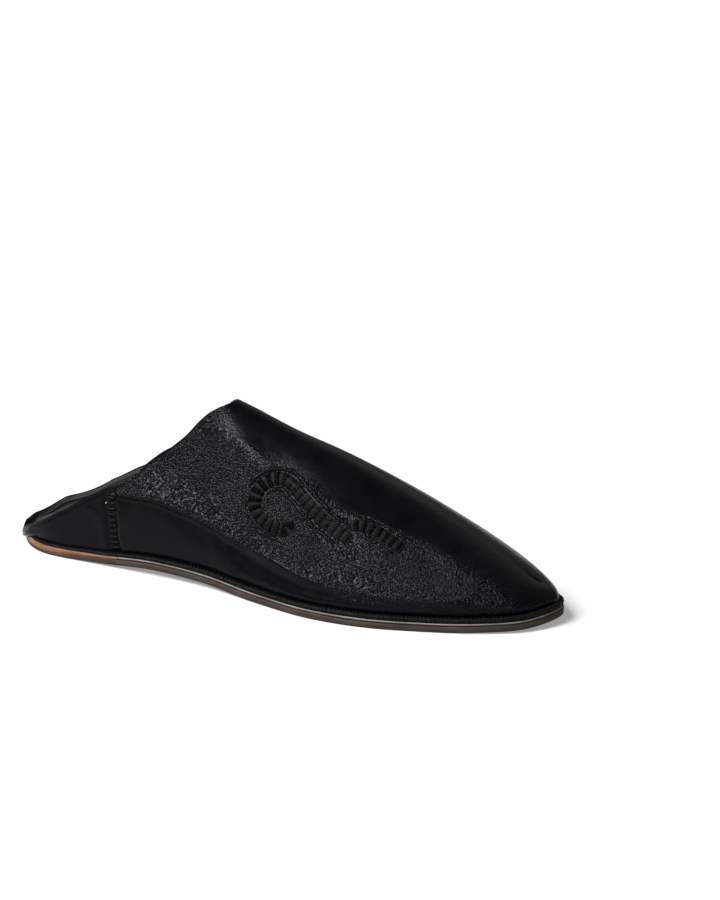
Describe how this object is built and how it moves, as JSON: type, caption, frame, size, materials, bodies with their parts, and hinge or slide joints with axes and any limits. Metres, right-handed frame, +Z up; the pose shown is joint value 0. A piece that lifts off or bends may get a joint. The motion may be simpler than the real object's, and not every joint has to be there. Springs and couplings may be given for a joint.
{
  "type": "babouche slipper",
  "caption": "Backless black leather slipper with a pointed toe, high arched vamp, low heel quarter, stitched welt and thin layered leather sole; right foot.",
  "frame": {"origin": "on the floor, at the middle of the bounding box", "axes": "+X towards the toe, +Y towards the inner side of the foot, +Z up"},
  "size_m": [0.2826, 0.0926, 0.0829],
  "materials": {
    "outsole_leather": "matte, cut edge",
    "lift_leather": "raw cut edge",
    "midsole_leather": "raw cut edge",
    "welt_leather": "overcast with black thread",
    "lining_leather": "smooth, matte",
    "upper_leather": "soft pebbled grain, semi-gloss",
    "black_thread": "satin thread"
  },
  "bodies": {
    "root": {"outsole": "outsole_leather", "heel_lift": "lift_leather", "midsole": "midsole_leather", "welt": "welt_leather", "insole": "lining_leather", "upper": "upper_leather"}
  },
  "joints": []
}
